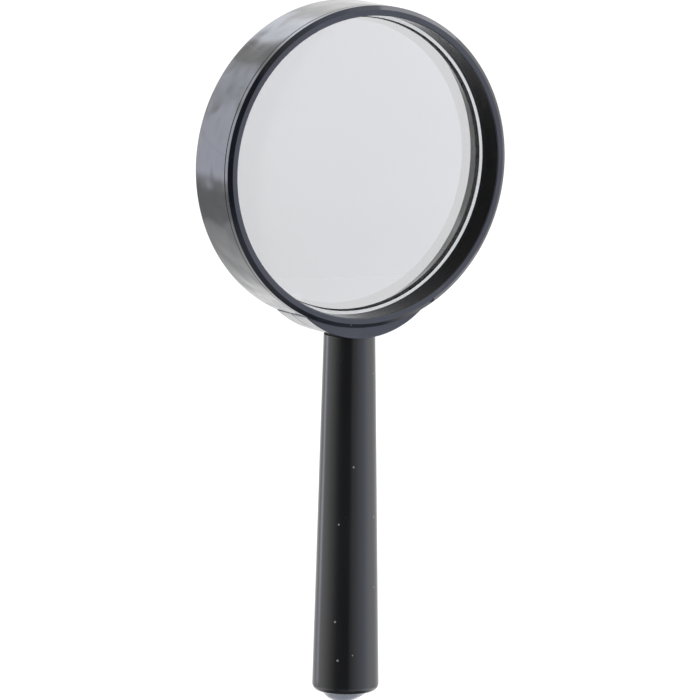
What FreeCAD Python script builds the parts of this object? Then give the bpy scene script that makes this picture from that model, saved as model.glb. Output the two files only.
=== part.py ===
import FreeCAD, Part
import math
import os
from FreeCAD import Vector

# Hand magnifier, upright: +Z runs up the handle towards the lens, the lens looks along Y,
# and its front faces -Y. The origin is on the handle's axis, half way up the grip.
# All sizes are in millimetres.

# Ring
ring_outer_radius = 42.0
ring_depth = 17.7
ring_rear_corner = 0.95
rear_lip_width = 3.0
shoulder_height = 1.4
shoulder_thickness = 1.8
inner_edge_chamfer = 0.3

# Bezel: a flange at the front with a sleeve that reaches in to the lens
flange_thickness = 2.15
flange_lip_width = 2.65
flange_chamfer_width = 1.1
flange_chamfer_height = 0.75
flange_inner_corner = 0.25
sleeve_wall = 0.9
sleeve_clearance = 0.05
seam_chamfer = 0.3
bead_height = 0.15
bead_width = 0.8
bead_distance = 3.0
bead_clearance = 0.05
notch_radius = 0.8
notch_angle = 28.5

# Lens
lens_edge = 2.2
lens_sag = 3.4
lens_clearance = 0.2
lens_bevel = 0.3

# Saddle between the ring and the handle
saddle_step_back = 1.25
saddle_arc_radius = 26.4
saddle_thickness = 3.0
saddle_edge_fillet = 0.3
saddle_tip_trim = 0.5
parting_width = 0.35
parting_depth = 0.25
washer_thickness = 0.5
washer_set_in = 0.9
washer_margin = 0.4
recess_clearance = 0.3
peg_radius = 1.2
peg_height = 1.5
peg_root = 0.8
peg_spacing = 22.0
peg_y = 4.5
peg_clearance = 0.1

# Handle
handle_length = 94.6
handle_top_radius = 6.77
handle_butt_radius = 8.77
handle_top_fillet = 0.3
handle_butt_fillet = 1.9
handle_wall = 2.9

# End cap in the butt
cap_margin = 0.7
cap_dome_height = 3.1
cap_stem_length = 10.0
cap_stem_wall = 1.5

# Threaded stud and its insert
thread_radius = 3.75
thread_pitch = 1.5
thread_depth = 0.75
thread_length = 10.5
thread_flat = 0.5
thread_flank = 0.2
thread_clearance = 0.1
stud_clearance = 0.1
stud_head_ledge = 0.45
stud_head_thickness = 0.9
stud_head_gap = 0.1
stud_tip_chamfer = 0.7
insert_wall = 1.15
insert_length = 14.0
insert_mouth_depth = 1.0
insert_mouth_relief = 0.15
insert_groove_depth = 0.35
insert_groove_width = 1.2

# Worked out from the sizes above
front_y = -ring_depth / 2
rear_y = ring_depth / 2
seat_z = handle_length / 2
butt_z = -handle_length / 2
ring_z = seat_z + ring_outer_radius + saddle_thickness - washer_set_in + washer_thickness
recess_z = seat_z + washer_thickness
sleeve_inner_radius = ring_outer_radius - flange_lip_width
sleeve_outer_radius = sleeve_inner_radius + sleeve_wall
bore_radius = sleeve_outer_radius + sleeve_clearance
shoulder_radius = sleeve_inner_radius - shoulder_height
rear_lip_radius = ring_outer_radius - rear_lip_width
flange_flat_radius = ring_outer_radius - flange_chamfer_width
flange_back_y = front_y + flange_thickness
lens_radius = bore_radius - lens_clearance
lens_curve = (lens_radius ** 2 + lens_sag ** 2) / (2 * lens_sag)
saddle_arc_z = ring_z - ring_outer_radius - saddle_thickness + saddle_arc_radius
saddle_depth = ring_depth - 2 * saddle_step_back
# the saddle's two arcs cross this far out; its tips are cut blunt a little inside that
arc_centres = ring_outer_radius + saddle_thickness - saddle_arc_radius
crossing_drop = (ring_outer_radius ** 2 + arc_centres ** 2 - saddle_arc_radius ** 2) / (2 * arc_centres)
saddle_half_width = math.sqrt(ring_outer_radius ** 2 - crossing_drop ** 2) - saddle_tip_trim
stud_head_width = 2 * (thread_radius + stud_head_ledge)
stud_seat_z = ring_z - ring_outer_radius - stud_head_gap - stud_head_thickness
peg_base_z = ring_z - math.sqrt(ring_outer_radius ** 2 - (peg_spacing / 2) ** 2)
insert_radius = thread_radius + thread_clearance + insert_wall
cap_radius = handle_butt_radius - handle_butt_fillet - cap_margin


def lens_face(radius):
    """Distance of the lens surface from its middle plane at a radius."""
    rim = math.sqrt(lens_curve ** 2 - lens_radius ** 2)
    return lens_edge / 2 + math.sqrt(lens_curve ** 2 - radius ** 2) - rim


sleeve_end_y = -lens_face(sleeve_inner_radius)
shoulder_y = lens_face(shoulder_radius)


def profile_face(edges):
    return Part.Face(Part.Wire(Part.__sortEdges__(edges)))


def closed_lines(points):
    corners = points + points[:1]
    return [Part.makeLine(a, b) for a, b in zip(corners, corners[1:])]


def turned_on_lens_axis(points):
    """Solid of revolution about the lens axis from (radius, y) corners."""
    corners = [Vector(r, y, ring_z) for r, y in points]
    face = profile_face(closed_lines(corners))
    return face.revolve(Vector(0, 0, ring_z), Vector(0, 1, 0), 360)


def turned_on_handle_axis(points):
    """Solid of revolution about the handle axis from (radius, z) corners."""
    corners = [Vector(r, 0, z) for r, z in points]
    return profile_face(closed_lines(corners)).revolve(Vector(0, 0, 0), Vector(0, 0, 1), 360)


def lens_axis_cylinder(radius, y_low, y_high):
    return Part.makeCylinder(radius, y_high - y_low, Vector(0, y_low, ring_z), Vector(0, 1, 0))


def upright_cylinder(radius, z_low, z_high):
    return Part.makeCylinder(radius, z_high - z_low, Vector(0, 0, z_low))


def circle_edges_at(shape, radius, **place):
    """Circular edges of one radius, whose centre has the given coordinates."""
    found = []
    for edge in shape.Edges:
        if edge.Degenerated:
            continue
        curve = edge.Curve
        if not isinstance(curve, Part.Circle) or abs(curve.Radius - radius) > 1e-4:
            continue
        if all(abs(getattr(curve.Center, axis) - value) < 1e-4 for axis, value in place.items()):
            found.append(edge)
    return found


def helical_bar(inner_radius, outer_radius, half_inner, half_outer, z_low, turns):
    """Right-hand helical bar of trapezoid section: half heights at its inner and outer radius."""
    one_turn = Part.makeHelix(thread_pitch, thread_pitch, inner_radius)
    edges = []
    for turn in range(turns):
        edges += one_turn.translated(Vector(0, 0, z_low + turn * thread_pitch)).Edges
    section = Part.makePolygon([
        Vector(outer_radius, 0, z_low - half_outer),
        Vector(outer_radius, 0, z_low + half_outer),
        Vector(inner_radius, 0, z_low + half_inner),
        Vector(inner_radius, 0, z_low - half_inner),
        Vector(outer_radius, 0, z_low - half_outer),
    ])
    pipe = Part.BRepOffsetAPI.MakePipeShell(Part.Wire(edges))
    pipe.setFrenetMode(True)
    pipe.add(section, False, False)
    pipe.build()
    pipe.makeSolid()
    return pipe.shape()


def turns_past(length):
    """Whole thread turns that run out beyond a length."""
    return math.ceil(length / thread_pitch) + 1


def make_frame_ring():
    ring = turned_on_lens_axis([
        (bore_radius, flange_back_y),
        (ring_outer_radius - seam_chamfer, flange_back_y),
        (ring_outer_radius, flange_back_y + seam_chamfer),
        (ring_outer_radius, rear_y),
        (rear_lip_radius + inner_edge_chamfer, rear_y),
        (rear_lip_radius, rear_y - inner_edge_chamfer),
        (rear_lip_radius, shoulder_y + shoulder_thickness),
        (shoulder_radius, shoulder_y + shoulder_thickness - (rear_lip_radius - shoulder_radius) / 2),
        (shoulder_radius, shoulder_y),
        (bore_radius, shoulder_y),
    ])
    ring = ring.makeFillet(ring_rear_corner, circle_edges_at(ring, ring_outer_radius, y=rear_y))
    groove_y = flange_back_y + bead_distance - bead_clearance
    groove_width = bead_width + 2 * bead_clearance
    groove = lens_axis_cylinder(bore_radius + bead_height, groove_y, groove_y + groove_width)
    ring = ring.cut(groove)
    for hole in saddle_pegs(peg_clearance):
        ring = ring.cut(hole)
    return ring


def make_bezel_ring():
    bezel = turned_on_lens_axis([
        (sleeve_inner_radius, front_y),
        (flange_flat_radius, front_y),
        (ring_outer_radius, front_y + flange_chamfer_height),
        (ring_outer_radius, flange_back_y),
        (sleeve_outer_radius, flange_back_y),
        (sleeve_outer_radius, sleeve_end_y),
        (sleeve_inner_radius, sleeve_end_y),
    ])
    rim = circle_edges_at(bezel, sleeve_inner_radius, y=front_y)
    bezel = bezel.makeFillet(flange_inner_corner, rim)
    bead_y = flange_back_y + bead_distance
    bead_tip = sleeve_outer_radius + bead_height
    bead = turned_on_lens_axis([
        (sleeve_inner_radius, bead_y),
        (sleeve_outer_radius, bead_y),
        (bead_tip, bead_y + bead_height),
        (bead_tip, bead_y + bead_width - bead_height),
        (sleeve_outer_radius, bead_y + bead_width),
        (sleeve_inner_radius, bead_y + bead_width),
    ])
    bezel = bezel.fuse(bead).removeSplitter()
    # a small pry notch in the front corner, low on the right
    turn = math.radians(notch_angle)
    outward = Vector(math.sin(turn), 0, -math.cos(turn))
    start = Vector(0, front_y, ring_z) + outward * flange_flat_radius
    notch = Part.makeCylinder(notch_radius, 2 * flange_chamfer_width, start, outward)
    return bezel.cut(notch)


def make_lens():
    rim_y = lens_edge / 2
    middle_y = rim_y + lens_sag
    top = Vector(0, middle_y, ring_z)
    bottom = Vector(0, -middle_y, ring_z)
    quarter = lens_radius / 2
    rear_rim = Vector(lens_radius, rim_y, ring_z)
    front_rim = Vector(lens_radius, -rim_y, ring_z)
    rear_arc = Part.Arc(top, Vector(quarter, lens_face(quarter), ring_z), rear_rim).toShape()
    front_arc = Part.Arc(bottom, Vector(quarter, -lens_face(quarter), ring_z), front_rim).toShape()
    edge_line = Part.makeLine(rear_rim, front_rim)
    axis_line = Part.makeLine(bottom, top)
    face = profile_face([rear_arc, edge_line, front_arc, axis_line])
    lens = face.revolve(Vector(0, 0, ring_z), Vector(0, 1, 0), 360)
    return lens.makeChamfer(lens_bevel, circle_edges_at(lens, lens_radius))


def saddle_pegs(grown_by):
    """The two locating pegs on top of the saddle, or the holes for them when grown."""
    root = peg_base_z - peg_root
    top = peg_base_z + peg_height + grown_by
    peg = Part.makeCylinder(peg_radius + grown_by, top - root, Vector(0, peg_y, root))
    return [peg.translated(Vector(side * peg_spacing / 2, 0, 0)) for side in (-1, 1)]


def square_block(width, z_low, z_high):
    return Part.makeBox(width, width, z_high - z_low, Vector(-width / 2, -width / 2, z_low))


def make_saddle():
    half_depth = saddle_depth / 2
    axis = Vector(0, 1, 0)
    block = Part.makeCylinder(saddle_arc_radius, saddle_depth, Vector(0, -half_depth, saddle_arc_z), axis)
    block = block.makeFillet(saddle_edge_fillet, circle_edges_at(block, saddle_arc_radius))
    saddle = block.cut(lens_axis_cylinder(ring_outer_radius, -ring_depth, ring_depth))
    corner = Vector(-saddle_half_width, -half_depth, saddle_arc_z - saddle_arc_radius)
    saddle = saddle.common(Part.makeBox(2 * saddle_half_width, saddle_depth, ring_outer_radius, corner))
    # the moulding's parting line round the middle of the underside
    line_start = Vector(0, -parting_width / 2, saddle_arc_z)
    wide = Part.makeCylinder(saddle_arc_radius + 1, parting_width, line_start, axis)
    narrow = Part.makeCylinder(saddle_arc_radius - parting_depth, parting_width, line_start, axis)
    saddle = saddle.cut(wide.cut(narrow))
    # round recess underneath for the washer and the top of the handle
    recess_radius = handle_top_radius + recess_clearance
    recess = upright_cylinder(recess_radius, seat_z - saddle_thickness, recess_z)
    # square pocket on top that keeps the stud from turning
    pocket = square_block(stud_head_width + 2 * stud_clearance, stud_seat_z, ring_z)
    shank_hole = upright_cylinder(thread_radius + stud_clearance, seat_z, ring_z)
    saddle = saddle.cut(recess).cut(pocket).cut(shank_hole)
    return saddle.multiFuse(saddle_pegs(0)).removeSplitter()


def make_threaded_stud():
    tip_z = seat_z - thread_length
    shank = upright_cylinder(thread_radius, tip_z, stud_seat_z)
    shank = shank.makeChamfer(stud_tip_chamfer, circle_edges_at(shank, thread_radius, z=tip_z))
    root = thread_radius - thread_depth
    # the groove is cut from a little outside the shank, its flanks carried on at the same slope
    over = thread_clearance
    half_root = thread_flat / 2
    half_mouth = half_root + thread_flank * (thread_depth + over) / thread_depth
    turns = turns_past(thread_length)
    groove = helical_bar(
        root, thread_radius + over, half_root, half_mouth, seat_z - turns * thread_pitch, turns)
    head = square_block(stud_head_width, stud_seat_z, stud_seat_z + stud_head_thickness)
    return shank.cut(groove).fuse(head).removeSplitter()


def make_thread_insert():
    low = seat_z - insert_length
    body = upright_cylinder(insert_radius, low, seat_z)
    for step in (1, 2):
        middle = low + insert_length * step / 3
        wide = upright_cylinder(
            insert_radius + 1, middle - insert_groove_width / 2, middle + insert_groove_width / 2)
        narrow = upright_cylinder(
            insert_radius - insert_groove_depth, middle - insert_groove_width, middle + insert_groove_width)
        body = body.cut(wide.cut(narrow))
    bore = upright_cylinder(thread_radius - thread_depth + thread_clearance, low - 1, seat_z + 1)
    groove_radius = thread_radius + thread_clearance
    mouth_radius = groove_radius + insert_mouth_relief
    mouth = upright_cylinder(mouth_radius, seat_z - insert_mouth_depth, seat_z + 1)
    # the groove that the stud's ridge runs in lies half a pitch from the stud's own groove
    half_outer = (thread_pitch - thread_flat) / 2 - thread_flank + thread_clearance
    half_inner = half_outer + thread_flank * (thread_depth + thread_clearance) / thread_depth
    turns = turns_past(insert_length)
    groove = helical_bar(
        thread_radius - thread_depth, groove_radius, half_inner, half_outer,
        seat_z - (turns + 0.5) * thread_pitch, turns + 1)
    return body.cut(bore).cut(mouth).cut(groove)


def make_friction_washer():
    outer = handle_top_radius - washer_margin
    disc = upright_cylinder(outer, seat_z, recess_z)
    hole = upright_cylinder(thread_radius + 2 * stud_clearance, seat_z, recess_z)
    return disc.cut(hole)


def handle_radius(z):
    """Outer radius of the handle's straight taper at a height."""
    share = (seat_z - z) / handle_length
    return handle_top_radius + (handle_butt_radius - handle_top_radius) * share


def make_handle_shell():
    handle = turned_on_handle_axis([
        (0, butt_z), (handle_butt_radius, butt_z), (handle_top_radius, seat_z), (0, seat_z),
    ])
    handle = handle.makeFillet(handle_butt_fillet, circle_edges_at(handle, handle_butt_radius, z=butt_z))
    handle = handle.makeFillet(handle_top_fillet, circle_edges_at(handle, handle_top_radius, z=seat_z))
    insert_low = seat_z - insert_length
    stem_z = butt_z + cap_stem_length
    stem_radius = handle_butt_radius - handle_wall
    hollow = turned_on_handle_axis([
        (0, butt_z), (stem_radius, butt_z), (stem_radius, stem_z),
        (handle_radius(insert_low) - handle_wall, insert_low), (0, insert_low),
    ])
    socket = upright_cylinder(insert_radius, insert_low, seat_z)
    return handle.cut(hollow).cut(socket)


def make_end_cap():
    stem_radius = handle_butt_radius - handle_wall
    dome_curve = (cap_radius ** 2 + cap_dome_height ** 2) / (2 * cap_dome_height)
    centre = Vector(0, 0, butt_z - cap_dome_height + dome_curve)
    ball = Part.makeSphere(dome_curve, centre)
    below = Part.makeCylinder(cap_radius + 1, cap_dome_height + 1, Vector(0, 0, butt_z - cap_dome_height - 1))
    dome = ball.common(below)
    stem = upright_cylinder(stem_radius, butt_z, butt_z + cap_stem_length)
    inside = upright_cylinder(stem_radius - cap_stem_wall, butt_z, butt_z + cap_stem_length)
    return dome.fuse(stem.cut(inside)).removeSplitter()


def save(name, shape):
    if len(shape.Solids) != 1 or not shape.isValid():
        raise RuntimeError(f"{name} is not one sound solid")
    shape.Solids[0].exportStep(f"parts/{name}.step")


os.makedirs("parts", exist_ok=True)
save("frame_ring", make_frame_ring())
save("bezel_ring", make_bezel_ring())
save("lens", make_lens())
save("saddle", make_saddle())
save("threaded_stud", make_threaded_stud())
save("friction_washer", make_friction_washer())
save("thread_insert", make_thread_insert())
save("handle_shell", make_handle_shell())
save("end_cap", make_end_cap())
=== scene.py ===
import bpy
import bmesh
import math
from mathutils import Matrix, Vector, noise


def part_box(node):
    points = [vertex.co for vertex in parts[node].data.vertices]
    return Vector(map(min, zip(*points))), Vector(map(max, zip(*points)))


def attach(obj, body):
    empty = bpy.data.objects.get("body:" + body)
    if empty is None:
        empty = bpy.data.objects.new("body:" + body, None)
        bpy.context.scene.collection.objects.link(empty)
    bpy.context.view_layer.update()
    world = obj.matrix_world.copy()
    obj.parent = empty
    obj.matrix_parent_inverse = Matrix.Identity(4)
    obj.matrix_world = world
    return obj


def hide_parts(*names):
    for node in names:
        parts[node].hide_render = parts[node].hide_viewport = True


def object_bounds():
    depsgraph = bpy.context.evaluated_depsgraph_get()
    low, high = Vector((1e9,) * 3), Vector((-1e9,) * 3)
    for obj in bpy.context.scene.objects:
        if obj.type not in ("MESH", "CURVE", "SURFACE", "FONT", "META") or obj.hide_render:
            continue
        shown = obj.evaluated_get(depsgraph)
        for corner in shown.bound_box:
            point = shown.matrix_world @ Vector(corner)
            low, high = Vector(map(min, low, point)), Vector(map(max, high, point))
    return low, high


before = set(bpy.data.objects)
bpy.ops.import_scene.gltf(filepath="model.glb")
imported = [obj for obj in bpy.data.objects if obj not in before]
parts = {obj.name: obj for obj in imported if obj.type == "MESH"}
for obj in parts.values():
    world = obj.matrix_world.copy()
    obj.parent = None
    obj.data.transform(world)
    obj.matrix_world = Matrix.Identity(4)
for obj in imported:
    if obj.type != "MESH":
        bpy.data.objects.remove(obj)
cadLow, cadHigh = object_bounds()
mm = 0.001
print("frame loaded,", len(parts), "parts")

# where things are, read off the frame
ringLow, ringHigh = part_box("frame_ring")
bezelLow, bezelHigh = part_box("bezel_ring")
lensLow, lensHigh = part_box("lens")
gripLow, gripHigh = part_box("handle_shell")
capLow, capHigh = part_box("end_cap")
insertLow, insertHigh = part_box("thread_insert")
ringCentre = Vector((0, 0, (ringLow.z + ringHigh.z) / 2))
ringRadius = (ringHigh.x - ringLow.x) / 2


# camera and light come first, so every piece can be judged as it goes in
studio = {
    "azimuth": -31.4, "elevation": 9.0, "distance": 1.9867, "roll": 0.68,
    "target": (0.00022, 0.0, 0.04285),
    "lens": 392.3, "sensor": 36.0, "clipStart": 0.1,
    "floorSize": 80.0, "floorTone": (0.97, 0.97, 0.97), "floorRoughness": 0.9,
    "floorDrop": 0.03,  # the glass is held up, not stood on its domed butt
    "room": (1.14, 1.14, 1.16),  # what is seen straight on, or through the lens
    # mirrored brightness round the horizon: angle from the camera, plus to its right,
    # then level and blue cast
    "horizon": [
        (-180, 1.14, 1.0), (-172, 1.28, 1.0), (-160, 1.15, 1.0), (-125, 1.1, 1.0),
        (-104, 1.55, 1.0), (-88, 1.65, 1.0), (-68, 1.15, 1.0), (-50, 0.58, 1.0),
        (-36, 0.2, 1.0), (-24, 0.08, 1.0), (8, 0.07, 1.0), (15, 0.4, 1.0),
        (24, 0.68, 1.0), (34, 0.85, 1.08), (47, 1.25, 1.16), (64, 1.5, 1.2),
        (80, 2.05, 1.14), (93, 2.2, 1.03), (118, 1.55, 1.0), (137, 1.25, 1.0),
        (160, 1.24, 1.0), (180, 1.14, 1.0),
    ],
    "redLoss": 0.35,  # how much red goes as the blue cast comes
    "headroom": 1.2,  # keeps the bluest tone inside the ramp's range
    # the same sky by elevation: dark far below, a bright band, a darker strip, then lit walls
    "rise": [
        (-90, 0.1), (-54, 0.12), (-42, 0.9), (-34, 1.3), (-25.5, 1.4), (-23, 0.88),
        (-16, 0.86), (-11, 0.98), (-4, 0.94), (2, 1.02), (10, 1.15), (15, 1.35),
        (26, 1.45), (45, 1.1), (90, 0.5),
    ],
    # soft-edged glows in the sky: angle, elevation, width, height, edge, level, colour
    "glows": [
        (-115.5, 5.5, 13, 33, 5, 2.1, (0.95, 1.0, 1.23)),
        (-160, 37, 20, 20, 10, 2.0, (0.94, 1.0, 1.16)),
        (-129, 23, 13, 14, 6, 1.35, (0.9, 1.0, 1.2)),
        (8, -46, 70, 36, 18, 0.36, (0.97, 1.0, 1.02)),
    ],
    # angle from the camera, elevation, distance, width, height, level, colour
    "softboxes": {
        "highRight": (102, 38, 1.5, 0.62, 0.62, 2.3, (0.97, 0.98, 1.08)),
    },
}


def link(obj):
    bpy.context.scene.collection.objects.link(obj)
    return obj


def spot(angle, elevation, distance):
    # a point round the target, its angle counted from the camera's side
    around = math.radians(studio["azimuth"] + angle)
    up = math.radians(elevation)
    away = Vector((math.sin(around) * math.cos(up), -math.cos(around) * math.cos(up), math.sin(up)))
    return Vector(studio["target"]) + away * distance


def makeCamera():
    camera = link(bpy.data.objects.new("camera", bpy.data.cameras.new("camera")))
    camera.data.lens = studio["lens"]
    camera.data.sensor_width = studio["sensor"]
    camera.data.clip_start = studio["clipStart"]
    camera.location = spot(0, studio["elevation"], studio["distance"])
    toTarget = Vector(studio["target"]) - camera.location
    look = toTarget.to_track_quat("-Z", "Y").to_matrix()
    tilt = Matrix.Rotation(math.radians(studio["roll"]), 3, "Z")
    camera.rotation_euler = (look @ tilt).to_euler()
    bpy.context.scene.camera = camera


def makeSoftboxes():
    for name, setup in studio["softboxes"].items():
        angle, elevation, distance, width, height, level, colour = setup
        lamp = bpy.data.lights.new(name, "AREA")
        lamp.shape = "RECTANGLE"
        lamp.size, lamp.size_y = width, height
        lamp.energy = level * math.pi * width * height
        lamp.color = colour
        box = link(bpy.data.objects.new(name, lamp))
        box.location = spot(angle, elevation, distance)
        aim = Vector(studio["target"]) - box.location
        box.rotation_euler = aim.to_track_quat("-Z", "Y").to_euler()
        box.visible_camera = False


# node helpers, shared by the world and all the finishes
def node(tree, kind, **settings):
    made = tree.nodes.new("ShaderNode" + kind)
    for key, value in settings.items():
        if key in made.inputs:
            made.inputs[key].default_value = value
        else:
            setattr(made, key, value)
    return made


def feed(tree, slot, value):
    # the value is an output socket, a number or a colour
    if isinstance(value, bpy.types.NodeSocket):
        tree.links.new(value, slot)
    else:
        slot.default_value = (*value, 1) if isinstance(value, tuple) else value


def maths(tree, operation, *values, clamp=False):
    made = node(tree, "Math", operation=operation, use_clamp=clamp)
    for slot, value in zip(made.inputs, values):
        feed(tree, slot, value)
    return made.outputs[0]


def ramp(tree, source, stops, smooth=False):
    # stops: (position, grey or colour)
    made = node(tree, "ValToRGB")
    made.color_ramp.interpolation = "EASE" if smooth else "LINEAR"
    elements = made.color_ramp.elements
    while len(elements) < len(stops):
        elements.new(0.5)
    for element, (position, tone) in zip(elements, stops):
        element.position = position
        element.color = (*tone, 1) if isinstance(tone, tuple) else (tone, tone, tone, 1)
    tree.links.new(source, made.inputs["Fac"])
    return made.outputs["Color"]


def addGlow(tree, around, up, sky, skyScale, setup):
    # one soft-edged rectangle of extra brightness on the sky
    angle, elevation, width, height, edge, level, colour = setup
    spans = []
    for middle, size, whole in ((angle, width, 360), (elevation, height, 180)):
        stops = [(middle + side * (size + bias * edge) / 2) / whole + 0.5
                 for side, bias in ((-1, 1), (-1, -1), (1, -1), (1, 1))]
        spans.append(list(zip(stops, (0.0, 1.0, 1.0, 0.0))))
    across, upright = ramp(tree, around, spans[0], True), ramp(tree, up, spans[1], True)
    patch = maths(tree, "MULTIPLY", across, upright)
    extra = tuple(tone * level / skyScale for tone in colour)
    added = node(tree, "MixRGB", blend_type="ADD", Color2=(*extra, 1))
    tree.links.new(patch, added.inputs["Fac"])
    tree.links.new(sky, added.inputs["Color1"])
    return added.outputs["Color"]


def makeWorld():
    world = bpy.data.worlds.new("studio")
    bpy.context.scene.world = world
    world.use_nodes = True
    tree = world.node_tree
    turned = node(tree, "Mapping", Rotation=(0, 0, math.radians(-studio["azimuth"])))
    tree.links.new(node(tree, "TexCoord").outputs["Generated"], turned.inputs["Vector"])
    split = node(tree, "SeparateXYZ")
    tree.links.new(turned.outputs["Vector"], split.inputs["Vector"])

    # angle round the horizon and elevation, each brought to 0 to 1 for the ramps
    behind = maths(tree, "MULTIPLY", split.outputs["Y"], -1)
    angle = maths(tree, "ARCTAN2", split.outputs["X"], behind)
    around = maths(tree, "MULTIPLY_ADD", angle, 1 / (2 * math.pi), 0.5)
    up = maths(tree, "MULTIPLY_ADD", maths(tree, "ARCSINE", split.outputs["Z"]), 1 / math.pi, 0.5)

    top = max(level for _, level, _ in studio["horizon"]) * studio["headroom"]
    topRise = max(level for _, level in studio["rise"])
    skyScale = top * topRise
    horizon = []
    for place, level, blue in studio["horizon"]:
        red = 1 + studio["redLoss"] * (1 - blue)
        horizon.append(((place + 180) / 360, (level * red / top, level / top, level * blue / top)))
    rise = [((place + 90) / 180, level / topRise) for place, level in studio["rise"]]
    sky = node(tree, "MixRGB", blend_type="MULTIPLY", Fac=1.0)
    tree.links.new(ramp(tree, around, horizon), sky.inputs["Color1"])
    tree.links.new(ramp(tree, up, rise), sky.inputs["Color2"])
    tone = sky.outputs["Color"]
    for setup in studio["glows"]:
        tone = addGlow(tree, around, up, tone, skyScale, setup)

    # the sky shows in the gloss only: the room seen straight on or through the lens is plain
    path = node(tree, "LightPath")
    mirrored = maths(tree, "SUBTRACT", path.outputs["Is Glossy Ray"],
                     path.outputs["Is Transmission Ray"], clamp=True)
    plain = tuple(value / skyScale for value in studio["room"])
    choice = node(tree, "MixRGB", Color1=(*plain, 1))
    tree.links.new(mirrored, choice.inputs["Fac"])
    tree.links.new(tone, choice.inputs["Color2"])
    background = tree.nodes["Background"]
    background.inputs["Strength"].default_value = skyScale
    tree.links.new(choice.outputs["Color"], background.inputs["Color"])


def makeFloor():
    half = studio["floorSize"] / 2
    level = cadLow.z - studio["floorDrop"]
    corners = [(-half, -half, level), (half, -half, level),
               (half, half, level), (-half, half, level)]
    mesh = bpy.data.meshes.new("floor")
    mesh.from_pydata(corners, [], [(0, 1, 2, 3)])
    floor = link(bpy.data.objects.new("floor", mesh))
    paint = bpy.data.materials.new("floorPaint")
    paint.use_nodes = True
    shader = paint.node_tree.nodes["Principled BSDF"]
    shader.inputs["Base Color"].default_value = (*studio["floorTone"], 1)
    shader.inputs["Roughness"].default_value = studio["floorRoughness"]
    mesh.materials.append(paint)
    floor.visible_glossy = False  # keeps the plastic's dark side dark, as on a raised stand
    floor.visible_shadow = False


makeCamera()
makeSoftboxes()
makeWorld()
makeFloor()
bpy.context.scene.view_settings.view_transform = "Standard"
print("camera and light placed")


# helpers for the finishes
def newFinish(name, colour, roughness, ior=1.5):
    # returns the material, its tree, its shader and the object-space position
    mat = bpy.data.materials.new(name)
    mat.use_nodes = True
    tree = mat.node_tree
    shader = tree.nodes["Principled BSDF"]
    shader.inputs["Base Color"].default_value = (*colour, 1)
    shader.inputs["Roughness"].default_value = roughness
    shader.inputs["IOR"].default_value = ior
    place = node(tree, "TexCoord").outputs["Object"]
    return mat, tree, shader, place


def grain(tree, place, scale, stretch=(1, 1, 1), detail=2.0, rough=0.5):
    # soft noise, stretched by squeezing the position along an axis
    sized = node(tree, "Mapping", Scale=stretch)
    tree.links.new(place, sized.inputs["Vector"])
    made = node(tree, "TexNoise", Scale=scale, Detail=detail, Roughness=rough)
    tree.links.new(sized.outputs["Vector"], made.inputs["Vector"])
    return made.outputs["Fac"]


def specks(tree, place, scale, size, share):
    # 1 in a few small dots, 0 elsewhere
    cells = node(tree, "TexVoronoi", Scale=scale)
    tree.links.new(place, cells.inputs["Vector"])
    near = maths(tree, "LESS_THAN", cells.outputs["Distance"], size)
    pick = node(tree, "SeparateColor")
    tree.links.new(cells.outputs["Color"], pick.inputs["Color"])
    few = maths(tree, "LESS_THAN", pick.outputs["Red"], share)
    return maths(tree, "MULTIPLY", near, few)


hairlineSettings = {"middle": 0.5, "patchScale": 0.23, "patchFrom": 0.56}


def hairlines(tree, place, scale, stretch, width):
    # fine scratches where a stretched noise crosses its middle value, in patches
    waves = grain(tree, place, scale, stretch, detail=0.0)
    off = maths(tree, "ABSOLUTE", maths(tree, "SUBTRACT", waves, hairlineSettings["middle"]))
    line = maths(tree, "LESS_THAN", off, width)
    wide = grain(tree, place, scale * hairlineSettings["patchScale"], detail=1.0)
    patch = maths(tree, "GREATER_THAN", wide, hairlineSettings["patchFrom"])
    return maths(tree, "MULTIPLY", line, patch)


def blend(tree, share, first, second):
    made = node(tree, "MixRGB")
    for slot, value in (("Fac", share), ("Color1", first), ("Color2", second)):
        feed(tree, made.inputs[slot], value)
    return made.outputs["Color"]


def between(tree, source, low, high):
    # spreads 0 to 1 over low to high
    made = node(tree, "MapRange")
    made.inputs["To Min"].default_value = low
    made.inputs["To Max"].default_value = high
    tree.links.new(source, made.inputs["Value"])
    return made.outputs["Result"]


def emboss(tree, shader, height, distance, strength=1.0, after=None):
    made = node(tree, "Bump", Strength=strength, Distance=distance)
    tree.links.new(height, made.inputs["Height"])
    if after:
        tree.links.new(after, made.inputs["Normal"])
    tree.links.new(made.outputs["Normal"], shader.inputs["Normal"])
    return made.outputs["Normal"]


# in every finish the scales are per metre and the heights in metres, and plainRoughness is
# for a viewer that skips the nodes
glossSettings = {
    "body": (0.002, 0.0024, 0.0042), "cloud": (0.0048, 0.0062, 0.0105),
    "cloudScale": 45.0, "cloudStops": [(0.35, 0.0), (0.7, 1.0)],
    "dust": (0.16, 0.165, 0.17), "dustScale": 620.0, "dustSize": 0.11, "dustShare": 0.02,
    "roughness": (0.045, 0.11), "plainRoughness": 0.07, "wearScale": 260.0,
    "scratchScale": 160.0, "scratchStretch": (1.0, 0.25, 1.0), "scratchWidth": 0.004,
    "scratchRough": 0.12, "dustRough": 0.5,
    "rippleScale": 110.0, "rippleHeight": 0.00038, "markHeight": 0.000012, "markStrength": 0.6,
}
# a rougher copy of the ring's gloss for the forward faces; its paler colour is painted light for
# the light those faces catch
paintedLightFaceSettings = {
    **glossSettings, "body": (0.012, 0.0125, 0.018), "cloud": (0.021, 0.0225, 0.03),
    "roughness": (0.1, 0.2), "dustShare": 0.03,
}


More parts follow.
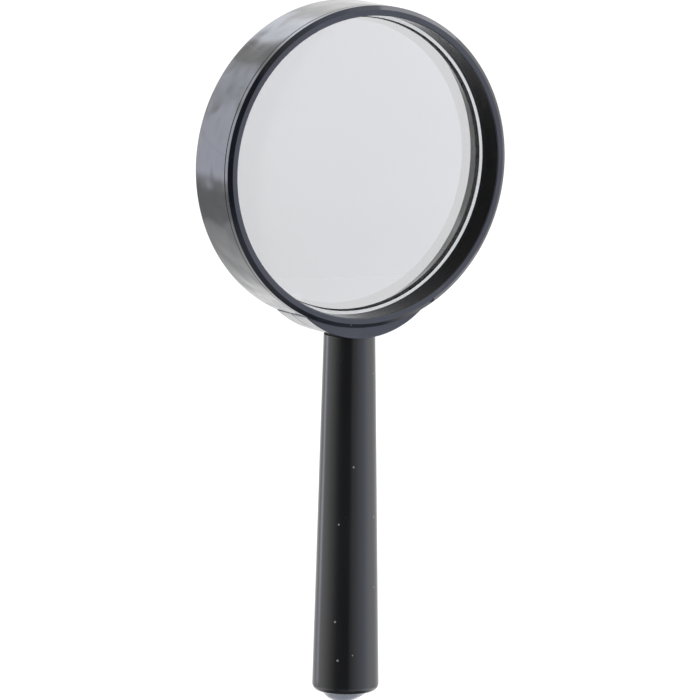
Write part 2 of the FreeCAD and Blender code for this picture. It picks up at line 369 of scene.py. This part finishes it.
def makeGloss(name, setup):
    # hard gloss of a moulded ring: slow ripples, hairline scratches and a little dust
    mat, tree, shader, place = newFinish(name, setup["body"], setup["plainRoughness"])
    cloud = ramp(tree, grain(tree, place, setup["cloudScale"], detail=3.0), setup["cloudStops"])
    dust = specks(tree, place, setup["dustScale"], setup["dustSize"], setup["dustShare"])
    body = blend(tree, cloud, setup["body"], setup["cloud"])
    tree.links.new(blend(tree, dust, body, setup["dust"]), shader.inputs["Base Color"])
    scratch = hairlines(tree, place, setup["scratchScale"], setup["scratchStretch"],
                        setup["scratchWidth"])
    wear = between(tree, grain(tree, place, setup["wearScale"], detail=4.0), *setup["roughness"])
    rough = maths(tree, "ADD", wear, maths(tree, "MULTIPLY", scratch, setup["scratchRough"]))
    rough = maths(tree, "ADD", rough, maths(tree, "MULTIPLY", dust, setup["dustRough"]))
    tree.links.new(rough, shader.inputs["Roughness"])
    waves = grain(tree, place, setup["rippleScale"], detail=1.0)
    ripple = emboss(tree, shader, waves, setup["rippleHeight"])
    marks = maths(tree, "SUBTRACT", dust, scratch)
    emboss(tree, shader, marks, setup["markHeight"], setup["markStrength"], ripple)
    return mat


sleeveSettings = {
    "body": (0.0008, 0.0008, 0.001), "cloudScale": 90.0,
    "tones": [(0.3, (0.0008, 0.0008, 0.001)), (0.8, (0.002, 0.002, 0.0028))],
    "roughness": (0.07, 0.18), "plainRoughness": 0.12,
    "ior": 1.11,  # low, so that the wall stays black until it is seen nearly edge-on
    "haze": 0.12, "hazeSpread": 0.3,
    "drawScale": 700.0, "drawStretch": (1.0, 0.06, 1.0),
    "drawHeight": 0.00001, "drawStrength": 0.5,
}


def makeSleeveBlack(setup):
    # the duller wall inside the ring, drawn along the lens axis when it left its mould
    mat, tree, shader, place = newFinish("sleeveBlack", setup["body"], setup["plainRoughness"],
                                         setup["ior"])
    shader.inputs["Sheen Weight"].default_value = setup["haze"]  # the pale bloom it has edge-on
    shader.inputs["Sheen Roughness"].default_value = setup["hazeSpread"]
    drawn = grain(tree, place, setup["drawScale"], setup["drawStretch"], detail=3.0)
    tree.links.new(between(tree, drawn, *setup["roughness"]), shader.inputs["Roughness"])
    cloud = grain(tree, place, setup["cloudScale"], detail=3.0)
    tree.links.new(ramp(tree, cloud, setup["tones"]), shader.inputs["Base Color"])
    emboss(tree, shader, drawn, setup["drawHeight"], setup["drawStrength"])
    return mat


gripSettings = {
    "body": (0.0034, 0.0036, 0.0042), "cloud": (0.0064, 0.0067, 0.0078),
    "cloudScale": 90.0, "cloudStretch": (1.0, 1.0, 0.22), "cloudStops": [(0.35, 0.0), (0.75, 1.0)],
    "dust": (0.17, 0.17, 0.165), "dustScale": 300.0, "dustSize": 0.085, "dustShare": 0.26,
    "roughness": (0.13, 0.25), "plainRoughness": 0.18,
    "scratchScale": 240.0, "scratchStretch": (1.0, 1.0, 0.12), "scratchWidth": 0.004,
    "scratchRough": 0.15,
    "waveScale": 60.0, "waveStretch": (1.0, 1.0, 0.5), "waveHeight": 0.00016,
    "drawScale": 700.0, "drawStretch": (1.0, 1.0, 0.025),
    "drawHeight": 0.00003, "drawStrength": 0.7,
}


def makeGripBlack(setup):
    # satin handle plastic with lengthwise drag marks, shallow sinks and stray dust
    mat, tree, shader, place = newFinish("gripBlack", setup["body"], setup["plainRoughness"])
    drawn = grain(tree, place, setup["drawScale"], setup["drawStretch"], detail=3.0)
    cloud = grain(tree, place, setup["cloudScale"], setup["cloudStretch"], detail=4.0)
    dust = specks(tree, place, setup["dustScale"], setup["dustSize"], setup["dustShare"])
    body = blend(tree, ramp(tree, cloud, setup["cloudStops"]), setup["body"], setup["cloud"])
    tree.links.new(blend(tree, dust, body, setup["dust"]), shader.inputs["Base Color"])
    halves = [maths(tree, "MULTIPLY", source, 0.5) for source in (drawn, cloud)]
    mixed = maths(tree, "ADD", *halves)
    wear = between(tree, mixed, *setup["roughness"])
    scratch = hairlines(tree, place, setup["scratchScale"], setup["scratchStretch"],
                        setup["scratchWidth"])
    rough = maths(tree, "ADD", wear, maths(tree, "MULTIPLY", scratch, setup["scratchRough"]))
    tree.links.new(rough, shader.inputs["Roughness"])
    waves = grain(tree, place, setup["waveScale"], setup["waveStretch"], detail=1.0)
    sinks = emboss(tree, shader, waves, setup["waveHeight"])
    emboss(tree, shader, drawn, setup["drawHeight"], setup["drawStrength"], sinks)
    return mat


glassSettings = {
    # the grey tint is painted shade: it dims the room seen through the lens
    "paintedShadeTint": (0.595, 0.595, 0.595), "deeper": 0.985, "tintScale": 18.0, "ior": 1.52,
    "wipeScale": 55.0, "wipeStretch": (1.0, 1.0, 0.3), "smudge": [(0.55, 0.0), (0.8, 0.012)],
}


def makeLensGlass(setup):
    # clear glass with a grey tint that is painted shade, dimming the room seen through it, wiped
    # not quite clean
    paintedShadeTint = setup["paintedShadeTint"]
    mat, tree, shader, place = newFinish("lensGlass", paintedShadeTint, 0.0, setup["ior"])
    shader.inputs["Transmission Weight"].default_value = 1.0
    wipe = grain(tree, place, setup["wipeScale"], setup["wipeStretch"], detail=4.0)
    tree.links.new(ramp(tree, wipe, setup["smudge"]), shader.inputs["Roughness"])
    deeper = tuple(value * setup["deeper"] for value in paintedShadeTint)
    uneven = grain(tree, place, setup["tintScale"], detail=2.0)
    tree.links.new(blend(tree, uneven, paintedShadeTint, deeper), shader.inputs["Base Color"])
    return mat


groundSettings = {
    "body": (0.86, 0.87, 0.88), "ior": 1.52, "through": 0.15,
    "tones": [(0.3, (0.74, 0.75, 0.77)), (0.7, (0.93, 0.94, 0.95))],
    "paintedGlow": (0.96, 0.98, 1.0), "paintedGlowLevel": 0.24,  # painted glow standing in for the light that the glass pipes to its rim
    "roughness": (0.4, 0.62), "plainRoughness": 0.5,
    "gritScale": 2600.0, "gritHeight": 0.00002, "gritStrength": 0.8,
}


def makeGroundEdge(setup):
    # the lens's edge and bevels, left grey-white from the grinding wheel, with a painted glow for
    # the light piped to them
    mat, tree, shader, place = newFinish("groundEdge", setup["body"], setup["plainRoughness"],
                                         setup["ior"])
    shader.inputs["Transmission Weight"].default_value = setup["through"]
    # the emission is painted light: a glow for what the glass pipes to its edge
    shader.inputs["Emission Color"].default_value = (*setup["paintedGlow"], 1)
    shader.inputs["Emission Strength"].default_value = setup["paintedGlowLevel"]
    grit = grain(tree, place, setup["gritScale"], detail=4.0, rough=0.7)
    tree.links.new(ramp(tree, grit, setup["tones"]), shader.inputs["Base Color"])
    tree.links.new(between(tree, grit, *setup["roughness"]), shader.inputs["Roughness"])
    emboss(tree, shader, grit, setup["gritHeight"], setup["gritStrength"])
    return mat


capSettings = {
    "body": (0.13, 0.145, 0.17), "blotchScale": 300.0,
    "tones": [(0.3, (0.11, 0.125, 0.155)), (0.75, (0.17, 0.185, 0.205))],
    "milkiness": 0.25, "milkDepth": (0.002, 0.0022, 0.0025),
    "roughness": (0.22, 0.4), "plainRoughness": 0.3,
    "ringScale": 14000.0, "ringShare": 0.3, "markHeight": 0.00001, "markStrength": 0.5,
}


def makeCapGrey(setup):
    # grey, slightly milky plastic of the butt plug, with faint turning rings and scuffs
    mat, tree, shader, place = newFinish("capGrey", setup["body"], setup["plainRoughness"])
    shader.inputs["Subsurface Weight"].default_value = setup["milkiness"]
    shader.inputs["Subsurface Radius"].default_value = setup["milkDepth"]
    split = node(tree, "SeparateXYZ")
    tree.links.new(place, split.inputs["Vector"])
    squares = [maths(tree, "MULTIPLY", split.outputs[side], split.outputs[side]) for side in "XY"]
    out = maths(tree, "SQRT", maths(tree, "ADD", *squares))
    rings = maths(tree, "SINE", maths(tree, "MULTIPLY", out, setup["ringScale"]))
    blotch = grain(tree, place, setup["blotchScale"], detail=4.0)
    tree.links.new(ramp(tree, blotch, setup["tones"]), shader.inputs["Base Color"])
    tree.links.new(between(tree, blotch, *setup["roughness"]), shader.inputs["Roughness"])
    marks = maths(tree, "ADD", maths(tree, "MULTIPLY", rings, setup["ringShare"]), blotch)
    emboss(tree, shader, marks, setup["markHeight"], setup["markStrength"])
    return mat


steelSettings = {
    "body": (0.56, 0.56, 0.58), "dark": (0.3, 0.29, 0.29),
    "stainScale": 320.0, "stainStops": [(0.4, 0.0), (0.75, 0.8)],
    "roughness": (0.2, 0.42), "plainRoughness": 0.28,
    "cutScale": 500.0, "cutStretch": (0.08, 0.08, 5.0), "cutHeight": 0.00002, "cutStrength": 0.6,
}
brassSettings = {
    **steelSettings, "body": (0.78, 0.58, 0.27), "dark": (0.42, 0.28, 0.12),
    "roughness": (0.22, 0.44), "plainRoughness": 0.3,
}


def makeTurnedMetal(name, setup):
    # lathe-cut metal: fine rings round the handle's axis, darker in random stains
    mat, tree, shader, place = newFinish(name, setup["body"], setup["plainRoughness"])
    shader.inputs["Metallic"].default_value = 1.0
    cut = grain(tree, place, setup["cutScale"], setup["cutStretch"], detail=3.0)
    stain = grain(tree, place, setup["stainScale"], detail=4.0)
    tone = blend(tree, ramp(tree, stain, setup["stainStops"]), setup["body"], setup["dark"])
    tree.links.new(tone, shader.inputs["Base Color"])
    mixed = maths(tree, "MULTIPLY", maths(tree, "ADD", cut, stain), 0.5)
    tree.links.new(between(tree, mixed, *setup["roughness"]), shader.inputs["Roughness"])
    emboss(tree, shader, cut, setup["cutHeight"], setup["cutStrength"])
    return mat


fibreSettings = {
    "body": (0.02, 0.018, 0.016),
    "tones": [(0.3, (0.012, 0.011, 0.01)), (0.75, (0.05, 0.045, 0.04))],
    "roughness": (0.65, 0.95), "plainRoughness": 0.8,
    "strandScale": 1500.0, "strandStretch": (1.0, 0.3, 1.0), "strandHeight": 0.00006,
    "strandStrength": 0.9,
}


def makeFibre(setup):
    # dark pressed-fibre washer
    mat, tree, shader, place = newFinish("washerFibre", setup["body"], setup["plainRoughness"])
    strands = grain(tree, place, setup["strandScale"], setup["strandStretch"],
                    detail=5.0, rough=0.7)
    tree.links.new(ramp(tree, strands, setup["tones"]), shader.inputs["Base Color"])
    tree.links.new(between(tree, strands, *setup["roughness"]), shader.inputs["Roughness"])
    emboss(tree, shader, strands, setup["strandHeight"], setup["strandStrength"])
    return mat


ringBlack = makeGloss("ringBlack", glossSettings)
# the same gloss with painted light in its colour, for the bezel's front face and the saddle
paintedLightFace = makeGloss("paintedLightFace", paintedLightFaceSettings)
sleeveBlack = makeSleeveBlack(sleeveSettings)
gripBlack = makeGripBlack(gripSettings)
lensGlass = makeLensGlass(glassSettings)
groundEdge = makeGroundEdge(groundSettings)
capGrey = makeCapGrey(capSettings)
studSteel = makeTurnedMetal("studSteel", steelSettings)
insertBrass = makeTurnedMetal("insertBrass", brassSettings)
washerFibre = makeFibre(fibreSettings)
print("finishes mixed")


# helpers for turned shapes, in mm until the mesh is made
turning = {"joinWithin": 1e-7, "dropUnder": 1e-8, "sharpFrom": 32.0}


def rounded(corners, arcSteps=7):
    # corners: (radius, along, rounding), as a closed outline; each rounding becomes an arc
    outline = []
    count = len(corners)
    for i, (r, along, rounding) in enumerate(corners):
        here = Vector((r, along))
        if not rounding:
            outline.append(here)
            continue
        before = (Vector(corners[i - 1][:2]) - here).normalized()
        after = (Vector(corners[(i + 1) % count][:2]) - here).normalized()
        half = before.angle(after) / 2
        reach = rounding / math.tan(half)
        middle = here + (before + after).normalized() * (rounding / math.sin(half))
        start, end = here + before * reach - middle, here + after * reach - middle
        sweep = start.angle_signed(end)
        for step in range(arcSteps + 1):
            a = -sweep * step / arcSteps
            turned = Vector((start.x * math.cos(a) - start.y * math.sin(a),
                             start.x * math.sin(a) + start.y * math.cos(a)))
            outline.append(middle + turned)
    return outline


def splitLong(outline, longest):
    # extra points along the long straight runs of a closed outline
    dense = []
    for i, here in enumerate(outline):
        there = outline[(i + 1) % len(outline)]
        pieces = max(1, math.ceil((there - here).length / longest))
        dense += [here.lerp(there, k / pieces) for k in range(pieces)]
    return dense


def evenAngles(count):
    return [2 * math.pi * k / count for k in range(count)]


def turn(name, outline, angles, shape=None, axis="Y"):
    # revolves a closed outline of (radius, along); shape may move each point
    verts, faces = [], []
    count = len(outline)
    for angle in angles:
        for r, along in outline:
            if shape:
                r, along = shape(r, along, angle)
            x, z = r * math.cos(angle) * mm, r * math.sin(angle) * mm
            verts.append((x, along * mm, z) if axis == "Y" else (x, z, along * mm))
    for a in range(len(angles)):
        b = (a + 1) % len(angles)
        for i in range(count):
            j = (i + 1) % count
            faces.append((a * count + i, a * count + j, b * count + j, b * count + i))
    mesh = bpy.data.meshes.new(name)
    mesh.from_pydata(verts, [], faces)
    return cleanMesh(mesh)


def cleanMesh(mesh):
    # joins doubled points on the axis, turns every face outwards and smooths all but sharp edges
    work = bmesh.new()
    work.from_mesh(mesh)
    bmesh.ops.remove_doubles(work, verts=work.verts, dist=turning["joinWithin"])
    bmesh.ops.dissolve_degenerate(work, edges=work.edges, dist=turning["dropUnder"])
    bmesh.ops.recalc_face_normals(work, faces=work.faces)
    work.to_mesh(mesh)
    work.free()
    mesh.shade_smooth()
    mesh.set_sharp_from_angle(angle=math.radians(turning["sharpFrom"]))
    return mesh


def paintFaces(mesh, finishes, choose):
    # choose gives each face the number of its finish
    for finish in finishes:
        mesh.materials.append(finish)
    for face in mesh.polygons:
        face.material_index = choose(face)


def fitPiece(mesh, centre, body, slot, *nodes):
    obj = link(bpy.data.objects.new(mesh.name, mesh))
    mesh.transform(Matrix.Translation(centre))
    shading = obj.modifiers.new("shading", "WEIGHTED_NORMAL")
    shading.keep_sharp = True
    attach(obj, body)
    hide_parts(*nodes)
    return obj


# ring band: the frame's outer wall, back lip and the shoulder behind the lens
band = {
    "bore": 40.3, "boreSoft": 0.1, "seamChamfer": 0.3, "seamSoft": 0.08, "backRounding": 0.95,
    "lipRadius": 39.0, "lipChamfer": 0.3, "lipSoft": 0.12,
    "shoulderRadius": 37.95, "shoulderFront": 1.457, "shoulderThick": 1.8, "shoulderSoft": 0.15,
    "segments": 300, "longest": 1.2,
    "warp": 0.02, "warpFrom": 41.5, "warpRound": 2.2, "warpAlong": 0.06,
}


def warpBand(r, along, angle):
    # slow moulding warp of a few hundredths, so the gloss is not dead true
    if r <= band["warpFrom"]:
        return r, along
    reach = band["warpRound"]
    spread = Vector((math.cos(angle) * reach, math.sin(angle) * reach, along * band["warpAlong"]))
    return r - band["warp"] * noise.noise(spread), along


def makeBand():
    outer = ringRadius / mm
    front, back = ringLow.y / mm, ringHigh.y / mm
    shoulderBack = band["shoulderFront"] + band["shoulderThick"]
    slope = (band["lipRadius"] - band["shoulderRadius"]) / 2
    corners = [
        (band["bore"], front, band["boreSoft"]),
        (outer - band["seamChamfer"], front, band["seamSoft"]),
        (outer, front + band["seamChamfer"], band["seamSoft"]),
        (outer, back, band["backRounding"]),
        (band["lipRadius"] + band["lipChamfer"], back, band["lipSoft"]),
        (band["lipRadius"], back - band["lipChamfer"], band["lipSoft"]),
        (band["lipRadius"], shoulderBack, band["shoulderSoft"]),
        (band["shoulderRadius"], shoulderBack - slope, band["shoulderSoft"]),
        (band["shoulderRadius"], band["shoulderFront"], band["boreSoft"]),
        (band["bore"], band["shoulderFront"], 0),
    ]
    outline = splitLong(rounded(corners), band["longest"])
    mesh = turn("ringBand", outline, evenAngles(band["segments"]), warpBand)
    mesh.materials.append(ringBlack)
    return fitPiece(mesh, ringCentre, "head", "black_plastic", "frame_ring")


# bezel: front flange and the sleeve that holds the lens in, with its small pry notch
bezel = {
    "lipWidth": 2.65, "chamfer": (1.1, 0.75), "chamferRounding": 0.22, "innerRounding": 0.35,
    "flangeThick": 2.15, "flangeSoft": 0.06, "sleeveWall": 0.9, "sleeveSoft": 0.08,
    "bead": (3.0, 0.8, 0.15), "beadSoft": 0.05,  # how far in from the flange, width and height
    "notchAngle": 28.5, "notchRadius": 0.8, "notchDepth": 1.1, "notchShort": 0.3,
    "notchReach": 1.5, "notchSteps": 14, "notchGap": 1.1,
    "sleeveFrom": 0.4, "sleeveMargin": 0.02, "faceMargin": 0.1,
    "segments": 300, "longest": 0.45, "arcSteps": 9,
}
notchTurn = math.radians(bezel["notchAngle"] - 90)


def fromNotch(angle):
    # how far round from the notch, as minus to plus half a turn
    return (angle - notchTurn + math.pi) % (2 * math.pi) - math.pi


def bezelAngles():
    # even steps, with finer ones either side of the notch
    steps = bezel["notchSteps"]
    reach = bezel["notchReach"] * bezel["notchRadius"] / (ringRadius / mm)
    fine = [notchTurn + reach * (k / steps - 1) for k in range(2 * steps + 1)]
    gap = reach * bezel["notchGap"]
    coarse = [a for a in evenAngles(bezel["segments"]) if abs(fromNotch(a)) > gap]
    return sorted(a % (2 * math.pi) for a in fine + coarse)


def cutNotch(r, along, angle):
    # sinks the front corner where a thin blade goes in to lift the bezel out
    front = bezelLow.y / mm
    across = r * fromNotch(angle)
    if r < ringRadius / mm - bezel["notchDepth"] or abs(across) >= bezel["notchRadius"]:
        return r, along
    floor = front + math.sqrt(bezel["notchRadius"] ** 2 - across ** 2)
    deepest = front + bezel["flangeThick"] - bezel["notchShort"]
    return r, max(along, min(floor, deepest))


def makeBezel():
    outer = ringRadius / mm
    front, back = bezelLow.y / mm, bezelHigh.y / mm
    inner = outer - bezel["lipWidth"]
    wall = inner + bezel["sleeveWall"]
    flange = front + bezel["flangeThick"]
    beadAt, beadWidth, beadHeight = bezel["bead"]
    beadStart, beadEnd = flange + beadAt, flange + beadAt + beadWidth
    chamferIn, chamferBack = bezel["chamfer"]
    corners = [
        (inner, front, bezel["innerRounding"]),
        (outer - chamferIn, front, bezel["chamferRounding"]),
        (outer, front + chamferBack, bezel["chamferRounding"]),
        (outer, flange, bezel["flangeSoft"]),
        (wall, flange, bezel["beadSoft"]),
        (wall, beadStart, 0),
        (wall + beadHeight, beadStart + beadHeight, bezel["beadSoft"]),
        (wall + beadHeight, beadEnd - beadHeight, bezel["beadSoft"]),
        (wall, beadEnd, 0),
        (wall, back, bezel["sleeveSoft"]),
        (inner, back, bezel["sleeveSoft"]),
    ]
    outline = splitLong(rounded(corners, bezel["arcSteps"]), bezel["longest"])
    mesh = turn("bezelRing", outline, bezelAngles(), cutNotch)
    sleeveOut = (inner + bezel["sleeveMargin"]) * mm
    sleeveStart = bezelLow.y + bezel["sleeveFrom"] * mm
    faceOut = (outer - chamferIn - bezel["faceMargin"]) * mm

    def choose(face):
        out = math.hypot(face.center.x, face.center.z)
        if out < sleeveOut and face.center.y > sleeveStart:
            return 1
        # the front face takes the gloss copy painted paler for the light on it
        return 2 if out < faceOut and face.center.y < sleeveStart else 0

    paintFaces(mesh, (ringBlack, sleeveBlack, paintedLightFace), choose)
    return fitPiece(mesh, ringCentre, "head", "black_plastic", "bezel_ring")


# lens: two shallow polished faces, and a ground edge that comes in a little over the front
lens = {
    "edge": 2.2, "frontBevel": 0.3, "frontGround": 1.6, "frontStep": 0.7, "backBevel": (1.0, 0.7),
    "rimMargin": 0.01, "rings": 60, "segments": 360,
}


def makeLens():
    radius = (lensHigh.x - lensLow.x) / 2 / mm
    half = lens["edge"] / 2
    sag = (lensHigh.y - lensLow.y) / 2 / mm - half
    curve = (radius ** 2 + sag ** 2) / (2 * sag)
    drop = math.sqrt(curve ** 2 - radius ** 2)
    bevel = lens["frontBevel"]
    backIn, backDown = lens["backBevel"]

    def bulge(r):
        # how far the face stands out from the lens's middle
        return half + math.sqrt(curve ** 2 - r ** 2) - drop

    steps = [k / lens["rings"] for k in range(lens["rings"] + 1)]
    clear = radius - lens["frontGround"]  # the polish stops here, under the bezel's sleeve
    frontRadii = [clear * step for step in steps] + [clear + lens["frontStep"], radius - bevel]
    front = [Vector((r, -bulge(r))) for r in frontRadii]
    back = [Vector((r, bulge(r))) for r in ((radius - backIn) * step for step in steps)]
    edge = [Vector((radius, -half + bevel)), Vector((radius, half - backDown))]
    mesh = turn("magnifierLens", front + edge + back[::-1], evenAngles(lens["segments"]))

    def choose(face):
        rim = radius - backIn if face.center.y > 0 else clear
        return int(math.hypot(face.center.x, face.center.z) > (rim + lens["rimMargin"]) * mm)

    paintFaces(mesh, (lensGlass, groundEdge), choose)
    return fitPiece(mesh, ringCentre, "head", "lens_glass", "lens")


# grip: long taper, hollow inside, with a socket for the brass insert
grip = {
    "topRadius": 6.77, "topRounding": 0.3, "buttRadius": 8.77, "buttRounding": 1.9, "wall": 2.9,
    "stemLength": 10.0, "socketSoft": 0.12, "mouthSoft": 0.1,
    "segments": 200, "longest": 1.5, "arcSteps": 10,
    "sink": 0.03, "sinkFrom": 0.05, "sinkRound": 0.9, "sinkLength": 16.0,
}
stemRadius = grip["buttRadius"] - grip["wall"]  # the bore in the butt, and the cap's stem in it


def sinkGrip(r, along, angle):
    # shallow sinks in the outside where the thick plastic shrank
    if r < grip["topRadius"] - grip["sinkFrom"]:
        return r, along
    reach = grip["sinkRound"]
    around = Vector((math.cos(angle) * reach, math.sin(angle) * reach, along / grip["sinkLength"]))
    return r - grip["sink"] * (0.5 + 0.5 * noise.noise(around)), along


def makeGrip():
    top, butt = gripHigh.z / mm, gripLow.z / mm
    topRadius, buttRadius = grip["topRadius"], grip["buttRadius"]
    socket = (insertHigh.y - insertLow.y) / 2 / mm
    floor = insertLow.z / mm
    atFloor = topRadius + (buttRadius - topRadius) * (top - floor) / (top - butt)
    corners = [
        (buttRadius, butt, grip["buttRounding"]), (topRadius, top, grip["topRounding"]),
        (socket, top, grip["socketSoft"]), (socket, floor, 0), (atFloor - grip["wall"], floor, 0),
        (stemRadius, butt + grip["stemLength"], 0), (stemRadius, butt, grip["mouthSoft"]),
    ]
    outline = splitLong(rounded(corners, grip["arcSteps"]), grip["longest"])
    mesh = turn("gripShell", outline, evenAngles(grip["segments"]), sinkGrip, axis="Z")
    mesh.materials.append(gripBlack)
    return fitPiece(mesh, Vector((0, 0, 0)), "handle", "grip_plastic", "handle_shell")


# butt cap: shallow dome with a stem up inside the grip
buttCap = {
    "rings": 14, "ringSpacing": 0.85, "segments": 120,
    "pip": (0.9, 0.12),  # radius and depth of the dimple left by the moulding gate
    "lean": (-0.75, 0.45),  # how far the dome was moulded off centre
    "stemWall": 1.5, "plateThick": 1.0,
}


def makeButtCap():
    radius = (capHigh.x - capLow.x) / 2 / mm
    low, top, seat = capLow.z / mm, capHigh.z / mm, gripLow.z / mm
    height = seat - low
    curve = (radius ** 2 + height ** 2) / (2 * height)
    pipRadius, pipDepth = buttCap["pip"]
    outline = []
    for k in range(buttCap["rings"] + 1):
        r = radius * (k / buttCap["rings"]) ** buttCap["ringSpacing"]
        z = low + curve - math.sqrt(curve ** 2 - r ** 2)
        if r < pipRadius:
            z += pipDepth * (1 - (r / pipRadius) ** 2)
        outline.append(Vector((r, z)))
    inside, plate = stemRadius - buttCap["stemWall"], seat + buttCap["plateThick"]
    outline += [Vector((stemRadius, seat)), Vector((stemRadius, top)), Vector((inside, top)),
                Vector((inside, plate)), Vector((0, plate))]
    mesh = turn("buttCap", outline, evenAngles(buttCap["segments"]), axis="Z")
    leanX, leanY = buttCap["lean"]
    for point in mesh.vertices:
        down = max(0.0, seat * mm - point.co.z) / (height * mm)  # 1 at the dome's lowest
        point.co.x += leanX * down * mm
        point.co.y += leanY * down * mm
    mesh.materials.append(capGrey)
    return fitPiece(mesh, Vector((0, 0, 0)), "handle", "cap_plastic", "end_cap")


# CAD shapes that are right as they stand, with their own finishes
paintedParts = {
    # the saddle takes the gloss copy painted paler for the light on it
    "saddle": paintedLightFace, "threaded_stud": studSteel,
    "thread_insert": insertBrass, "friction_washer": washerFibre,
}


def paintParts():
    for name, finish in paintedParts.items():
        mesh = parts[name].data
        mesh.materials.clear()
        mesh.materials.append(finish)


for make in (makeBand, makeBezel, makeLens, makeGrip, makeButtCap):
    piece = make()
    print("made", piece.name, "with", len(piece.data.polygons), "faces")
paintParts()
print("painted", ", ".join(paintedParts))
